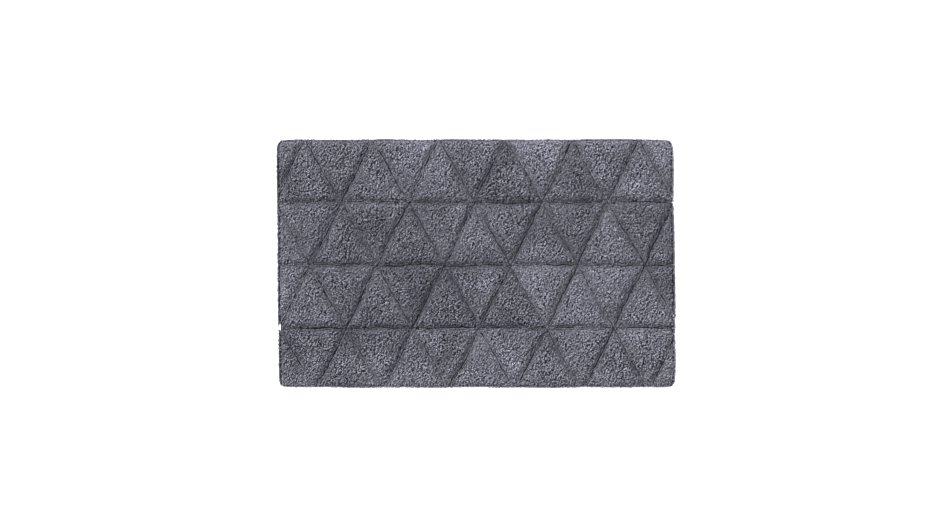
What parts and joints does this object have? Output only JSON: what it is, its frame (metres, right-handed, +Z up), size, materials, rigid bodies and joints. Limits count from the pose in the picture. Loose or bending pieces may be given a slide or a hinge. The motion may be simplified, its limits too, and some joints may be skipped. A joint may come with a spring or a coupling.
{
  "type": "bath mat",
  "caption": "Rectangular tufted cotton bath mat, its cut pile sheared into triangles, on a hemmed and latex-backed ground cloth.",
  "frame": {"origin": "under the middle of the mat, on the surface it lies on", "axes": "+X along the mat's long side, +Y from the front edge to the back edge, +Z up out of the pile"},
  "size_m": [0.7998, 0.5, 0.0204],
  "materials": {
    "pile": "mid-grey cotton cut pile, matt with a soft sheen, violet cast",
    "ground_cloth": "grey plain-woven cotton cloth, matt",
    "latex": "off-white latex film, satin, with the rows of back stitches showing through",
    "thread": "grey twisted polyester sewing thread",
    "label": "blank off-white woven tape"
  },
  "bodies": {
    "root": {"pile_row1_01": "pile", "pile_row1_02": "pile", "pile_row1_03": "pile", "pile_row1_04": "pile", "pile_row1_05": "pile", "pile_row1_06": "pile", "pile_row1_07": "pile", "pile_row1_08": "pile", "pile_row1_09": "pile", "pile_row1_10": "pile", "pile_row1_11": "pile", "pile_row1_12": "pile", "pile_row1_13": "pile", "pile_row2_01": "pile", "pile_row2_02": "pile", "pile_row2_03": "pile", "pile_row2_04": "pile", "pile_row2_05": "pile", "pile_row2_06": "pile", "pile_row2_07": "pile", "pile_row2_08": "pile", "pile_row2_09": "pile", "pile_row2_10": "pile", "pile_row2_11": "pile", "pile_row2_12": "pile", "pile_row2_13": "pile", "pile_row3_01": "pile", "pile_row3_02": "pile", "pile_row3_03": "pile", "pile_row3_04": "pile", "pile_row3_05": "pile", "pile_row3_06": "pile", "pile_row3_07": "pile", "pile_row3_08": "pile", "pile_row3_09": "pile", "pile_row3_10": "pile", "pile_row3_11": "pile", "pile_row3_12": "pile", "pile_row3_13": "pile", "pile_row4_01": "pile", "pile_row4_02": "pile", "pile_row4_03": "pile", "pile_row4_04": "pile", "pile_row4_05": "pile", "pile_row4_06": "pile", "pile_row4_07": "pile", "pile_row4_08": "pile", "pile_row4_09": "pile", "pile_row4_10": "pile", "pile_row4_11": "pile", "pile_row4_12": "pile", "pile_row4_13": "pile", "hem_front": "ground_cloth", "hem_back": "ground_cloth", "hem_left": "ground_cloth", "hem_right": "ground_cloth", "ground_cloth": "ground_cloth", "latex_coat": "latex", "hem_thread": "thread", "care_label": "label"}
  },
  "joints": []
}
